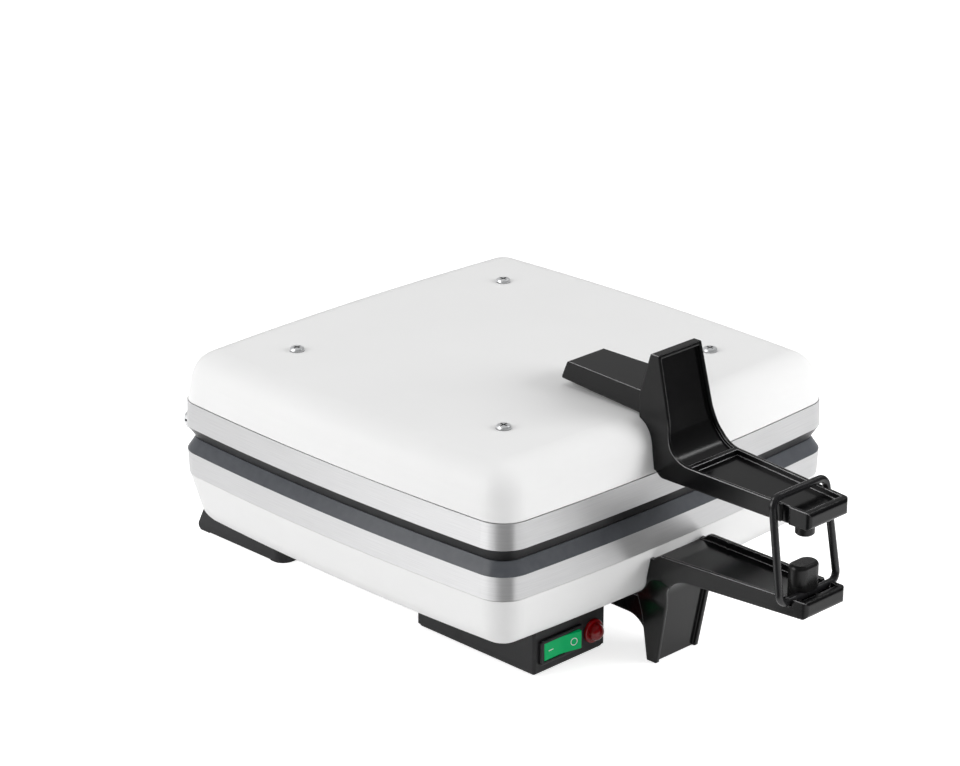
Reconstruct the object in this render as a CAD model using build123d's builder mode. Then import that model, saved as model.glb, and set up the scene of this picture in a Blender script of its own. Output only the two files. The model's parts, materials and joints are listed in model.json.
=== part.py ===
from build123d import *

import os
from math import atan, cos, degrees, radians, sin, sqrt, tan

# Bubble waffle maker: two cast baking plates in painted covers, hinged at the back.
# Millimetres, +Z up, +Y towards the hinge, origin on the table under the middle of the
# whole object. Each half is a casting with a drawn cover over its back, and carries one
# black moulded handle. The lower handle is the same moulding turned over, and its guard
# is the front leg. A wire bail in the lower handle holds the grips together.

os.makedirs("parts", exist_ok=True)

# Body outline
body_width = 253.0
body_depth = 251.6
side_bow = 4.8
corner_radius = 17.0

# Stack of heights, from the table up
ground_clearance = 34.5
lower_cover_height = 30.3
seam_gap = 0.4
lower_band_height = 12.8
lower_chamfer_height = 6.6
parting_gap = 0.6
upper_chamfer_height = 6.8
upper_band_height = 13.7
upper_cover_height = 25.8

# Castings
chamfer_inset = 4.5
band_draft = 2.4
cover_set_in = 0.3
slab_thickness = 16.0
casting_wall = 6.0
lip_height = 3.0
lip_thickness = 2.5
pan_width = 196.0
pan_depth = 202.0
pan_corner = 16.0
pan_recess = 2.2
bubble_pitch = 33.0
bubble_radius = 13.0
bubble_depth = 9.2
bubbles_across = 6
bubble_rows = 7

# Covers
cover_wall = 1.5
upper_draft = 7.7
upper_edge_radius = 16.6
lower_draft = 12.4
lower_edge_radius = 16.0

# Cover screws and the pillars they go into
upper_screw_spacing = 152.4
lower_screw_spacing = 162.0
screw_spacing_y = 151.8
screw_head_radius = 4.0
screw_head_height = 1.9
screw_shank_radius = 1.95
screw_shank_length = 14.0
pillar_radius = 5.5
pillar_foot_radius = 7.5

# Heating elements and shields
element_radius = 3.5
element_half_width = 60.0
element_half_depth = 58.0
element_bend = 22.0
element_tail_spacing = 20.0
element_tail_length = 30.0
element_tail_bend = 6.0
shield_spacing = 9.5
shield_thickness = 1.0
shield_margin = 20.0

# Hinge
hinge_back = 4.2
hinge_height_above_face = 0.3
lug_radius = 6.2
lug_outer_x = 103.0
lug_width = 10.0
lug_spacing = 0.3
lug_web_height = 10.0
hinge_pin_radius = 2.5
hinge_head_radius = 5.4
hinge_head_height = 3.2

# Handle moulding, as distances from the body's front and out from its seat
grip_overhang = 94.7
grip_tip_width = 30.0
neck_width = 39.6
grip_outer_root = 17.0
grip_outer_tip = 20.4
grip_inner_root = 27.2
grip_inner_tip = 29.3
ear_reach = 3.3
ear_rise = 2.9
guard_height = 34.0
guard_setback = 3.4
guard_thickness = 5.0
guard_rear_lean = 0.324
guard_arch_radius = 2.0
guard_width = 31.0
guard_root_overhang = 9.1
guard_sweep_radius = 16.0
leg_height = 35.2
leg_setback = 0.4
leg_thickness = 6.5
leg_rear_lean = 0.15
leg_arch_radius = 12.5
bar_length = 70.8
bar_rear_slope = 3.5
bar_height = 13.6
bar_lift = 4.0
bar_front_lift = 0.8
bar_rear_width = 28.0
bar_front_width = 33.2
bar_draft = 5.0
rim_width = 2.0
outer_tray_depth = 3.0
inner_tray_depth = 3.8
tray_end_wall = 3.8
cross_rib_overhang = 18.7
cross_rib_width = 2.6
rib_overrun = 20.0
recess_depth = 2.0
guard_tip_margin = 1.8
leg_tip_margin = -1.0
wall_rib_overhang = 17.0
wall_rib_length = 1.4
wall_rib_width = 2.4
seat_boss_width = 14.0
neck_overhang = 5.5
neck_setback = 8.5
neck_fall = 13.0
flare = 1.2
flare_radius = 18.0
neck_radius = 12.0
grip_corner_radius = 2.5
handle_screw_setbacks = (57.8, 29.8)
handle_screw_margin = 8.0

# Bail, its notches, keeper and stop
bail_wire_radius = 2.0
bail_overhang = 83.7
bail_foot_half_width = 21.5
bail_top_half_width = 19.9
bail_loop_height = 52.6
bail_lean_back = 8.3
bail_bend_radius = 5.0
bail_clearance = 0.08
notch_mouth = 7.0
bail_groove_depth = 1.2
bail_groove_width = 5.0
keeper_setback = 3.7
keeper_length = 17.0
keeper_width = 11.0
keeper_height = 17.6
keeper_edge_radius = 2.0
keeper_screw_back = 2.4
keeper_screw_radius = 1.5
keeper_screw_head_radius = 3.0
keeper_screw_length = 10.0
socket_depth = 0.6
stop_radius = 4.9
stop_length = 14.8

# Control box
box_left = 73.1
box_width = 51.8
box_setback = 31.2
box_depth = 84.7
box_floor_clearance = 1.5
box_wall = 2.2
box_edge_radius = 1.5
box_base_thickness = 1.7
box_base_inset = 0.8
box_screw_offsets = (-8.0, 24.0)
box_lead_offset = 8.0
terminal_block_length = 30.0
terminal_block_width = 17.0
terminal_block_height = 14.0
terminal_pitch = 10.0
terminal_row_pitch = 8.5
terminal_radius = 2.6
terminal_depth = 8.0

# Rocker switch
switch_from_left = 18.9
switch_height = 13.5
bezel_length = 30.6
bezel_height = 13.4
bezel_proud = 1.8
bezel_corner = 1.6
rocker_length = 25.0
rocker_height = 9.5
rocker_play = 0.25
rocker_swing = 6.0
rocker_end_rise = 2.8
rocker_middle_rise = 1.3
rocker_belly = 6.0
rocker_pivot_depth = 2.2
rocker_pin_radius = 1.2
rocker_pin_length = 0.7
switch_depth = 21.0
switch_wall = 1.0

# Indicator lamp
lamp_from_right = 9.1
lamp_height = 13.1
lamp_flange_radius = 6.4
lamp_flange_thickness = 1.4
lamp_dome_radius = 4.6
lamp_dome_length = 4.6
lamp_barrel_radius = 4.0
lamp_barrel_length = 16.0
lamp_nut_radius = 5.2
lamp_nut_thickness = 3.0

# Rear feet
foot_outer_x = 70.5
foot_width = 30.0
foot_front_setback = 27.8
foot_overhang = 42.2
foot_rear_lean = 0.5
foot_heel_radius = 3.0
foot_shoulder = 44.6
foot_heel_height = 23.0
foot_top_length = 30.0
foot_top_setback = 4.0
foot_wall = 3.0
foot_front_corner = 7.0
foot_relief = 0.5
foot_front_pad = 10.0
foot_heel_wall = 9.0
foot_screw_length = 20.0

# Lead fittings
lid_lead_x = 50.0
base_lead_x = 30.0
lead_nut_radius = 8.0
lead_nut_thickness = 5.0
lead_body_radius = 4.6
lead_body_length = 8.0
lead_bore_radius = 3.2
lead_tail = 6.0
mains_fitting_from_right = 13.0
mains_bore_radius = 3.75
mains_nut_radius = 9.0
mains_length = 20.0

# Small clearances shared by the fits
fit = 0.05
seat = 0.15
hole_play = 0.3

# Levels worked out from the stack
lower_rim = ground_clearance + lower_cover_height
lower_band_base = lower_rim + seam_gap
lower_band_top = lower_band_base + lower_band_height
lower_face = lower_band_top + lower_chamfer_height
upper_face = lower_face + parting_gap
upper_band_base = upper_face + upper_chamfer_height
upper_band_top = upper_band_base + upper_band_height
upper_rim = upper_band_top + seam_gap
upper_cover_top = upper_rim + upper_cover_height
lower_slab_back = lower_face - slab_thickness
upper_slab_back = upper_face + slab_thickness
half_width = body_width / 2
half_depth = body_depth / 2
grip_reach = half_depth + grip_overhang
guard_root = half_depth + guard_root_overhang
bar_rear = half_depth - bar_length
cross_rib_start = half_depth + cross_rib_overhang
handle_screw_reaches = [half_depth - setback for setback in handle_screw_setbacks]
bail_reach = half_depth + bail_overhang
keeper_reach = bail_reach - keeper_setback
box_front = half_depth - box_setback
foot_front = half_depth - foot_front_setback
foot_rear = half_depth + foot_overhang
rim_inset = upper_band_height * tan(radians(band_draft)) + cover_set_in

# The origin is midway between the handle's tip and the rear feet's heels
body_y = (grip_reach - foot_rear) / 2
hinge_y = half_depth + hinge_back
hinge_z = lower_face + parting_gap / 2 + hinge_height_above_face


def level(height, up=1):
    """Horizontal plane at a height, centred on the body; up=-1 faces down."""
    return Plane((0, body_y, height), x_dir=(up, 0, 0), z_dir=(0, 0, up))


def side(x=0, up=1, height=0):
    """Upright plane across X: local x runs to the back, local y runs up (or down)."""
    return Plane((x, body_y, height), x_dir=(0, 1, 0), z_dir=(up, 0, 0))


def front(y=0, up=1, height=0):
    """Upright plane across Y: local x runs to the right, local y runs up (or down)."""
    return Plane((0, body_y + y, height), x_dir=(1, 0, 0), z_dir=(0, -up, 0))


def body_outline(inset):
    """The body's outline seen from above, inset: sides bowed outwards, corners round."""
    x = body_width / 2 - inset
    y = body_depth / 2 - inset
    bowed_x = x - side_bow
    bowed_y = y - side_bow
    with BuildSketch(mode=Mode.PRIVATE) as outline:
        with BuildLine():
            ThreePointArc((-bowed_x, -bowed_y), (0, -y), (bowed_x, -bowed_y))
            ThreePointArc((bowed_x, -bowed_y), (x, 0), (bowed_x, bowed_y))
            ThreePointArc((bowed_x, bowed_y), (0, y), (-bowed_x, bowed_y))
            ThreePointArc((-bowed_x, bowed_y), (-x, 0), (-bowed_x, -bowed_y))
        make_face()
    return outline.sketch


def rounded_outline(inset):
    """The outline with its corners rounded to suit the inset."""
    with BuildSketch(mode=Mode.PRIVATE) as outline:
        add(body_outline(inset))
        fillet(outline.vertices(), radius=max(corner_radius - inset, 2.0))
    return outline.sketch


def finish(part, label):
    """Name a finished piece and write its file."""
    part.label = label
    export_step(part, f"parts/{label}.step")
    return part


def screws(plane, places, head_radius, head_height, shank_radius, shank_length):
    """Pan head screws on a plane at the underside of their heads, with cross recesses."""
    slot_length = head_radius * 1.1
    slot_width = head_radius * 0.24
    with BuildPart() as group:
        with BuildSketch(plane):
            with Locations(*places):
                Circle(shank_radius)
        extrude(amount=-shank_length)
        with BuildSketch(plane):
            with Locations(*places):
                Circle(head_radius)
        extrude(amount=head_height)
        outward = Axis(plane.origin, plane.z_dir)
        rims = group.edges().filter_by(GeomType.CIRCLE).group_by(outward)[-1]
        fillet(rims, radius=head_height * 0.8)
        with BuildSketch(plane.offset(head_height)):
            with Locations(*places):
                Rectangle(slot_length, slot_width)
                Rectangle(slot_width, slot_length)
        extrude(amount=-head_height * 0.6, mode=Mode.SUBTRACT)
    return group.part


def screw_places(spacing_x):
    """The four screws that hold a cover."""
    x = spacing_x / 2
    y = screw_spacing_y / 2
    return [(-x, -y), (-x, y), (x, -y), (x, y)]


upper_screw_places = screw_places(upper_screw_spacing)
lower_screw_places = screw_places(lower_screw_spacing)


def cover_form(rim, height, up, draft, edge_radius, grow=0.0):
    """Outer form of a cover: a drafted tray with a full radius round its face."""
    with BuildPart() as form:
        with BuildSketch(level(rim, up)):
            add(body_outline(rim_inset - grow))
        extrude(amount=height + grow, taper=draft)
        outward = Axis((0, 0, 0), (0, 0, up))
        rim_edges = form.edges().group_by(outward)[0]
        fillet(form.edges() - rim_edges, radius=edge_radius + grow)
    return form


def upper_cover_form(grow=0.0):
    """Outer form of the upper cover, grown for a clearance where asked."""
    return cover_form(upper_rim, upper_cover_height, 1, upper_draft, upper_edge_radius, grow)


def lower_cover_form(grow=0.0):
    """Outer form of the lower cover, grown for a clearance where asked."""
    return cover_form(lower_rim, lower_cover_height, -1, lower_draft, lower_edge_radius, grow)


# Covers: sheet shells with holes for their screws, the handle screws and the leads
handle_screw_places = [(0, -reach) for reach in handle_screw_reaches]
lid_lead_height = upper_rim + 4.8
base_lead_height = lower_rim - 12.5
foot_middle_x = foot_outer_x - foot_width / 2
foot_screw_y = foot_front + foot_front_pad + 6.0
foot_screw_places = [(sx * foot_middle_x, foot_screw_y) for sx in (-1, 1)]
box_middle_x = box_width / 2 - box_left
box_middle_y = box_depth / 2 - box_front
box_screw_places = [(box_middle_x, box_middle_y + offset) for offset in box_screw_offsets]
lead_hole_place = (box_middle_x, box_middle_y + box_lead_offset)
lead_hole_radius = 6.0

with BuildPart() as upper_cover:
    add(upper_cover_form().part)
    add(upper_cover_form(-cover_wall).part, mode=Mode.SUBTRACT)
    with BuildSketch(level(upper_cover_top)):
        with Locations(*upper_screw_places):
            Circle(screw_shank_radius + hole_play)
        with Locations(*handle_screw_places):
            Circle(screw_shank_radius + hole_play)
    extrude(amount=-2 * cover_wall, mode=Mode.SUBTRACT)
    with BuildSketch(front(half_depth)):
        with Locations((-lid_lead_x, lid_lead_height)):
            Circle(lead_body_radius + fit)
        with Locations((-lid_lead_x, lid_lead_height - lead_body_radius)):
            Rectangle(2 * (lead_body_radius + fit), 2 * lead_body_radius)
    extrude(amount=4 * cover_wall, both=True, mode=Mode.SUBTRACT)
finish(upper_cover.part, "upper_cover")

with BuildPart() as lower_cover:
    add(lower_cover_form().part)
    add(lower_cover_form(-cover_wall).part, mode=Mode.SUBTRACT)
    with BuildSketch(level(ground_clearance)):
        with Locations(*lower_screw_places):
            Circle(screw_shank_radius + hole_play)
        with Locations(*handle_screw_places):
            Circle(screw_shank_radius + hole_play)
        with Locations(*box_screw_places):
            Circle(screw_shank_radius + hole_play)
        with Locations(lead_hole_place):
            Circle(lead_hole_radius)
    extrude(amount=2 * cover_wall, mode=Mode.SUBTRACT)
    with BuildSketch(level(ground_clearance)):
        with Locations(*foot_screw_places):
            Circle(screw_shank_radius + hole_play)
    extrude(amount=foot_screw_length / 2, mode=Mode.SUBTRACT)
    with BuildSketch(front(half_depth)):
        with Locations((-base_lead_x, base_lead_height)):
            Circle(lead_body_radius + fit)
    extrude(amount=6 * cover_wall, both=True, mode=Mode.SUBTRACT)
finish(lower_cover.part, "lower_cover")


# Castings: brushed band, coated chamfer, bubble pan, pillars and hinge lugs
def bubble_places():
    """Staggered rows of bubbles, one fewer in every second row."""
    row_pitch = bubble_pitch * sqrt(3) / 2
    places = []
    for row in range(bubble_rows):
        count = bubbles_across - row % 2
        y = (row - (bubble_rows - 1) / 2) * row_pitch
        places += [((i - (count - 1) / 2) * bubble_pitch, y) for i in range(count)]
    return places


def casting(face, band_edge, rim, up, draft, cover_inner, places, lug_x):
    """One plate casting. up=1 is the lid's, whose back points up; up=-1 the base's."""
    chamfer_height = abs(band_edge - face)
    back = face + up * slab_thickness
    taper = degrees(atan(chamfer_inset / chamfer_height))
    lean = radians(draft)
    lip_inset = rim_inset + cover_wall / cos(lean) + hole_play + lip_height * tan(lean)
    shield_level = back + up * shield_spacing
    sphere_radius = (bubble_radius**2 + bubble_depth**2) / (2 * bubble_depth)
    sphere_centre = face + up * (pan_recess + bubble_depth - sphere_radius)
    with BuildPart() as plate:
        # Band, widest at its edge by the chamfer that narrows to the baking face
        with BuildSketch(level(band_edge, up)):
            add(rounded_outline(0))
        extrude(amount=abs(rim - band_edge), taper=band_draft)
        with BuildSketch(level(band_edge, -up)):
            add(rounded_outline(0))
        extrude(amount=chamfer_height, taper=taper)
        # Lip that locates the cover
        with BuildSketch(level(rim, up)):
            add(rounded_outline(lip_inset))
        extrude(amount=lip_height)
        # Open back
        with BuildSketch(level(back, up)):
            add(rounded_outline(lip_inset + lip_thickness))
        extrude(amount=abs(rim - back) + lip_height, mode=Mode.SUBTRACT)
        # Gap in the lip where the lead comes in
        with BuildSketch(level(rim, up)):
            with Locations((-up * lid_lead_x, half_depth - lip_inset)):
                Rectangle(2 * (lead_body_radius + hole_play), 3 * lip_thickness)
        extrude(amount=lip_height, mode=Mode.SUBTRACT)
        # Pillars with a shoulder for the shield
        with BuildSketch(level(back, up)):
            with Locations(*places):
                Circle(pillar_foot_radius)
        extrude(amount=shield_spacing)
        with BuildSketch(level(shield_level, up)):
            with Locations(*places):
                Circle(pillar_radius)
        extrude(amount=abs(cover_inner - shield_level) - seat)
        with BuildSketch(level(cover_inner - up * seat, -up)):
            with Locations(*places):
                Circle(screw_shank_radius + fit)
        extrude(amount=screw_shank_length, mode=Mode.SUBTRACT)
        # Hinge lugs behind the band
        for sx in (-1, 1):
            with BuildSketch(side(sx * lug_x)):
                with Locations((hinge_y, hinge_z)):
                    Circle(lug_radius)
            extrude(amount=lug_width / 2, both=True)
            web_low = band_edge + up * 0.4
            with BuildSketch(side(sx * lug_x)):
                with BuildLine():
                    Polyline(
                        (half_depth - casting_wall, web_low),
                        (half_depth - side_bow, web_low),
                        (hinge_y + lug_radius * 0.2, hinge_z + up * lug_radius * 0.3),
                        (hinge_y + lug_radius * 0.62, hinge_z + up * lug_radius * 0.78),
                        (half_depth - side_bow, web_low + up * lug_web_height),
                        (half_depth - casting_wall, web_low + up * lug_web_height),
                        close=True,
                    )
                make_face()
            extrude(amount=lug_width / 2, both=True)
            pin_play = hinge_pin_radius + (fit if up == 1 else fit / 2)
            with BuildSketch(side(sx * lug_x)):
                with Locations((hinge_y, hinge_z)):
                    Circle(pin_play)
            extrude(amount=lug_width, both=True, mode=Mode.SUBTRACT)
        # Bubble pan
        with BuildSketch(level(face, up)):
            RectangleRounded(pan_width, pan_depth, pan_corner)
        extrude(amount=pan_recess, mode=Mode.SUBTRACT)
        with Locations(*[(x, body_y + y, sphere_centre) for x, y in bubble_places()]):
            Sphere(sphere_radius, mode=Mode.SUBTRACT)
    return plate.part


upper_lug_x = lug_outer_x - lug_width / 2
lower_lug_x = upper_lug_x - lug_width - lug_spacing
upper_plate = casting(
    upper_face, upper_band_base, upper_band_top, 1,
    upper_draft, upper_cover_top - cover_wall, upper_screw_places, upper_lug_x,
)
finish(upper_plate, "upper_plate")
lower_plate = casting(
    lower_face, lower_band_top, lower_band_base, -1,
    lower_draft, ground_clearance + cover_wall, lower_screw_places, lower_lug_x,
)
finish(lower_plate, "lower_plate")


# Heating elements and shields behind each plate
def element(back, up):
    """Tubular heater bent into a loop against the back of a plate."""
    height = back + up * (element_radius + seat)
    tail = element_tail_spacing / 2
    w = element_half_width
    d = element_half_depth
    with BuildPart() as tube:
        with BuildLine(level(height)) as route:
            FilletPolyline(
                (-tail, d + element_tail_length),
                (-tail, d),
                (-w, d),
                (-w, -d),
                (w, -d),
                (w, d),
                (tail, d),
                (tail, d + element_tail_length),
                radius=[element_tail_bend] + 4 * [element_bend] + [element_tail_bend],
            )
        with BuildSketch(Plane(route.line @ 0, z_dir=route.line % 0)):
            Circle(element_radius)
        sweep(path=route.line)
    return tube.part


def shield(back, up, places):
    """Sheet on the pillars' shoulders that keeps the heat off the cover."""
    with BuildPart() as sheet:
        with BuildSketch(level(back + up * (shield_spacing + fit), up)):
            add(rounded_outline(shield_margin))
            with Locations(*places):
                Circle(pillar_radius + hole_play, mode=Mode.SUBTRACT)
        extrude(amount=shield_thickness)
    return sheet.part


finish(element(upper_slab_back, 1), "upper_element")
finish(element(lower_slab_back, -1), "lower_element")
finish(shield(upper_slab_back, 1, upper_screw_places), "upper_shield")
finish(shield(lower_slab_back, -1, lower_screw_places), "lower_shield")

thermostat_x = 32.0
thermostat_radius = 8.0
thermostat_height = 7.0
with BuildPart() as thermostat:
    with BuildSketch(level(lower_slab_back - fit, -1)):
        with Locations((-thermostat_x, 0)):
            Circle(thermostat_radius)
    extrude(amount=thermostat_height)
    with BuildSketch(level(lower_slab_back - fit, -1)):
        with Locations((-thermostat_x, 0)):
            SlotOverall(4 * thermostat_radius, thermostat_radius)
    extrude(amount=1.2)
finish(thermostat.part, "thermostat")


# Handle mouldings
def handle_width_cut(seat_height, up, inset):
    """Half the moulding's width at each place: waisted seen from above and from the front."""
    neck = neck_width / 2 - inset
    tip = grip_tip_width / 2 - inset
    guard = guard_width / 2 - inset
    bar = bar_rear_width / 2 - inset
    shoulder = bar_front_width / 2 - inset
    neck_front = half_depth + neck_overhang
    neck_rear = half_depth - neck_setback
    above = 1.3 * guard_height
    below = 1.3 * grip_inner_tip
    with BuildPart() as envelope:
        with BuildSketch(level(seat_height, up)):
            with BuildLine():
                FilletPolyline(
                    (-bar, -bar_rear + 5), (-shoulder, -neck_rear + 6), (-neck, -neck_rear),
                    (-neck, -neck_front), (-tip, -grip_reach), (tip, -grip_reach),
                    (neck, -neck_front), (neck, -neck_rear), (shoulder, -neck_rear + 6),
                    (bar, -bar_rear + 5),
                    radius=[0, 0, 0, 0, grip_corner_radius, grip_corner_radius, 0, 0, 0, 0],
                    close=True,
                )
            make_face()
        extrude(amount=above)
        extrude(to_extrude=envelope.faces().sort_by(Axis((0, 0, 0), (0, 0, up)))[0], amount=below)
        with BuildSketch(front(0, up, seat_height)):
            with BuildLine():
                FilletPolyline(
                    (-neck, -below), (-neck, -neck_fall), (-guard - flare, 1.0), (-guard, above),
                    (guard, above), (guard + flare, 1.0), (neck, -neck_fall), (neck, -below),
                    radius=[0, neck_radius, flare_radius, 0, 0, flare_radius, neck_radius, 0],
                    close=True,
                )
            make_face()
        extrude(amount=up * (grip_reach + 10), mode=Mode.INTERSECT)
    return envelope.part


def handle(
    seat_height, up, tip_height, tip_front, tip_margin, thickness, rear_lean, arch_radius, cover
):
    """The black moulding: grip, neck, guard or leg, and the bar along the cover.

    Side profiles are drawn forward of the body's middle and out from the cover's face.
    """
    root = guard_root
    lean = (root - tip_front) / (tip_height + grip_outer_root)
    front_at = lambda w: tip_front + (tip_height - w) * lean
    grip_slope = (grip_outer_tip - grip_outer_root) / (grip_reach - root)
    inner_slope = (grip_inner_tip - grip_inner_root) / (grip_reach - half_depth - ear_reach)
    outer_at = lambda u: -grip_outer_root - (u - root) * grip_slope
    inner_at = lambda u: -grip_inner_root - (u - half_depth - ear_reach) * inner_slope
    tray_end = grip_reach - tray_end_wall
    rear_tip = tip_front - thickness
    rear_foot = rear_tip - (tip_height - bar_height) * rear_lean
    neck_back = half_depth - 14.0
    plane = side(0, up, seat_height)
    with BuildPart() as moulding:
        # Grip, neck and guard
        with BuildSketch(plane):
            with BuildLine():
                FilletPolyline(
                    (-grip_reach, inner_at(grip_reach)),
                    (-grip_reach, outer_at(grip_reach)),
                    (-root, -grip_outer_root),
                    (-tip_front, tip_height),
                    (-rear_tip, tip_height),
                    (-rear_foot, bar_height - 3.0),
                    (-neck_back, -2.0),
                    (-neck_back, inner_at(half_depth) + ear_rise),
                    (-half_depth, inner_at(half_depth) + ear_rise),
                    (-half_depth - ear_reach, inner_at(half_depth + ear_reach)),
                    radius=[2.0, 2.5, guard_sweep_radius, 0.6, 0.6, 0, 0, 0, 0, 4.0],
                    close=True,
                )
            make_face()
        extrude(amount=neck_width, both=True)
        add(handle_width_cut(seat_height, up, 0), mode=Mode.INTERSECT)
    with BuildPart() as bar:
        with BuildSketch(level(seat_height, up)):
            with BuildLine():
                Polyline(
                    (-bar_rear_width / 2, -bar_rear), (-bar_front_width / 2, -half_depth + 8),
                    (bar_front_width / 2, -half_depth + 8), (bar_rear_width / 2, -bar_rear),
                    close=True,
                )
            make_face()
        extrude(amount=bar_height + 4, taper=bar_draft)
        with BuildSketch(plane):
            with BuildLine():
                FilletPolyline(
                    (-bar_rear, bar_lift), (-bar_rear - bar_rear_slope, bar_height),
                    (-half_depth, bar_height - 1.0), (-half_depth, bar_front_lift),
                    radius=[0.8, 1.4, 0, 0], close=True,
                )
            make_face()
        extrude(amount=neck_width, both=True, mode=Mode.INTERSECT)
    with BuildPart() as body:
        add(moulding.part)
        add(bar.part)
        # Fillet under the guard, larger where it is the leg
        corner = body.edges().filter_by(Axis.X).filter_by_position(
            Axis.Y, body_y - rear_foot - 3, body_y - rear_foot + 4
        ).filter_by_position(
            Axis.Z, *sorted((seat_height + up * (bar_height - 4), seat_height + up * (bar_height + 3)))
        )
        fillet(corner, radius=arch_radius)
        # Boss under the bar that stands on the cover
        boss_start = handle_screw_reaches[0] - handle_screw_margin
        boss_end = handle_screw_reaches[-1] + handle_screw_margin
        with BuildSketch(level(seat_height + up * seat, up)):
            with Locations((0, -(boss_start + boss_end) / 2)):
                RectangleRounded(seat_boss_width, boss_end - boss_start, 3.0)
        extrude(amount=bar_height / 2)
        with BuildSketch(level(seat_height + up * seat, up)):
            with Locations(*handle_screw_places):
                Circle(screw_shank_radius + fit)
        extrude(amount=bar_height * 0.65, mode=Mode.SUBTRACT)
        # Trays in both faces of the grip, the swept recess and the cross rib between them
        with BuildPart(mode=Mode.PRIVATE) as recesses:
            with BuildSketch(plane):
                with BuildLine():
                    top = tip_height - tip_margin
                    floor = -grip_outer_root - recess_depth
                    FilletPolyline(
                        (-front_at(top) + recess_depth, top),
                        (-front_at(floor) + recess_depth, floor),
                        (-cross_rib_start - rib_overrun, floor),
                        (-cross_rib_start - rib_overrun, top),
                        radius=[0, guard_sweep_radius + recess_depth, 0, 0],
                        close=True,
                    )
                make_face()
                with Locations((-cross_rib_start - rib_overrun / 2, 0)):
                    Rectangle(rib_overrun, 3 * tip_height, mode=Mode.SUBTRACT)
                with BuildLine():
                    start = cross_rib_start + cross_rib_width
                    Polyline(
                        (-start, outer_at(start) - outer_tray_depth), (-start, 0),
                        (-tray_end, 0), (-tray_end, outer_at(tray_end) - outer_tray_depth),
                        close=True,
                    )
                make_face()
                with BuildLine():
                    start = half_depth - corner_radius
                    Polyline(
                        (-start, inner_at(start) + inner_tray_depth),
                        (-start, -2 * grip_inner_tip),
                        (-tray_end, -2 * grip_inner_tip),
                        (-tray_end, inner_at(tray_end) + inner_tray_depth),
                        close=True,
                    )
                make_face()
            extrude(amount=neck_width, both=True)
            add(handle_width_cut(seat_height, up, rim_width), mode=Mode.INTERSECT)
            # Short ribs left on the walls of the inner tray
            with BuildSketch(level(seat_height - up * grip_outer_tip, -up)):
                for sx in (-1, 1):
                    with Locations((sx * (neck_width / 2 - rim_width), -half_depth - wall_rib_overhang)):
                        Rectangle(wall_rib_width, wall_rib_length)
            extrude(amount=2 * grip_inner_tip, mode=Mode.SUBTRACT)
        add(recesses.part, mode=Mode.SUBTRACT)
        add(cover, mode=Mode.SUBTRACT)
    return body, inner_at


tray_floor_at = lambda inner: inner + inner_tray_depth
upper_body, inner_line = handle(
    upper_cover_top, 1, guard_height, half_depth - guard_setback, guard_tip_margin,
    guard_thickness, guard_rear_lean, guard_arch_radius, upper_cover_form(seat).part,
)
stop_top = upper_cover_top + tray_floor_at(inner_line(keeper_reach))
with BuildPart() as upper_handle:
    add(upper_body.part)
    # Grooves in the sides where the bail's legs pass, and the hole for the stop's spigot
    for sx in (-1, 1):
        with BuildSketch(level(stop_top - 2 * inner_tray_depth)):
            with Locations((sx * (grip_tip_width / 2 + 1.0), -keeper_reach)):
                Rectangle(2 * bail_groove_depth, bail_groove_width)
        extrude(amount=guard_height, mode=Mode.SUBTRACT)
    with BuildSketch(level(stop_top - inner_tray_depth)):
        with Locations((0, -keeper_reach)):
            Circle(stop_radius + fit)
    extrude(amount=inner_tray_depth + socket_depth, mode=Mode.SUBTRACT)
finish(upper_handle.part, "upper_handle")

# The lower guard is the leg, so its seat is the leg's own height above the table
lower_seat = leg_height
lower_body, inner_line = handle(
    lower_seat, -1, leg_height, half_depth - leg_setback, leg_tip_margin,
    leg_thickness, leg_rear_lean, leg_arch_radius, lower_cover_form(seat).part,
)
lower_tray_floor = lower_seat - tray_floor_at(inner_line(bail_reach))
bail_z = lower_tray_floor + bail_wire_radius + bail_clearance
keeper_base = lower_tray_floor - socket_depth
keeper_screw_seat = keeper_base - 1.4
with BuildPart() as lower_handle:
    add(lower_body.part)
    # V notches through both rims for the bail
    rim_top = lower_seat - inner_line(bail_reach)
    with BuildSketch(side()):
        with BuildLine():
            Polyline(
                (-bail_reach - bail_wire_radius - bail_clearance, lower_tray_floor),
                (-bail_reach + bail_wire_radius + bail_clearance, lower_tray_floor),
                (-bail_reach + notch_mouth / 2, rim_top + 1),
                (-bail_reach - notch_mouth / 2, rim_top + 1),
                close=True,
            )
        make_face()
    extrude(amount=neck_width, both=True, mode=Mode.SUBTRACT)
    # Socket for the keeper, the hole for its screw and a flat for the screw's head
    with BuildSketch(level(rim_top)):
        with Locations((0, -keeper_reach)):
            SlotOverall(keeper_length + 2 * fit, keeper_width + 2 * fit)
    extrude(amount=-(rim_top - lower_tray_floor + socket_depth), mode=Mode.SUBTRACT)
    with BuildSketch(level(rim_top)):
        with Locations((0, -keeper_reach + keeper_screw_back)):
            Circle(keeper_screw_radius + hole_play)
    extrude(amount=-guard_height, mode=Mode.SUBTRACT)
    with BuildSketch(level(keeper_screw_seat, -1)):
        with Locations((0, -keeper_reach + keeper_screw_back)):
            Circle(keeper_screw_head_radius + hole_play)
    extrude(amount=guard_height, mode=Mode.SUBTRACT)
finish(lower_handle.part, "lower_handle")

upper_handle_screws = screws(
    level(upper_cover_top - cover_wall - fit, -1),
    handle_screw_places, screw_head_radius, screw_head_height,
    screw_shank_radius, bar_height * 0.6,
)
finish(upper_handle_screws, "upper_handle_screws")
lower_handle_screws = screws(
    level(ground_clearance + cover_wall + fit, 1),
    handle_screw_places, screw_head_radius, screw_head_height,
    screw_shank_radius, bar_height * 0.6,
)
finish(lower_handle_screws, "lower_handle_screws")

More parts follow.
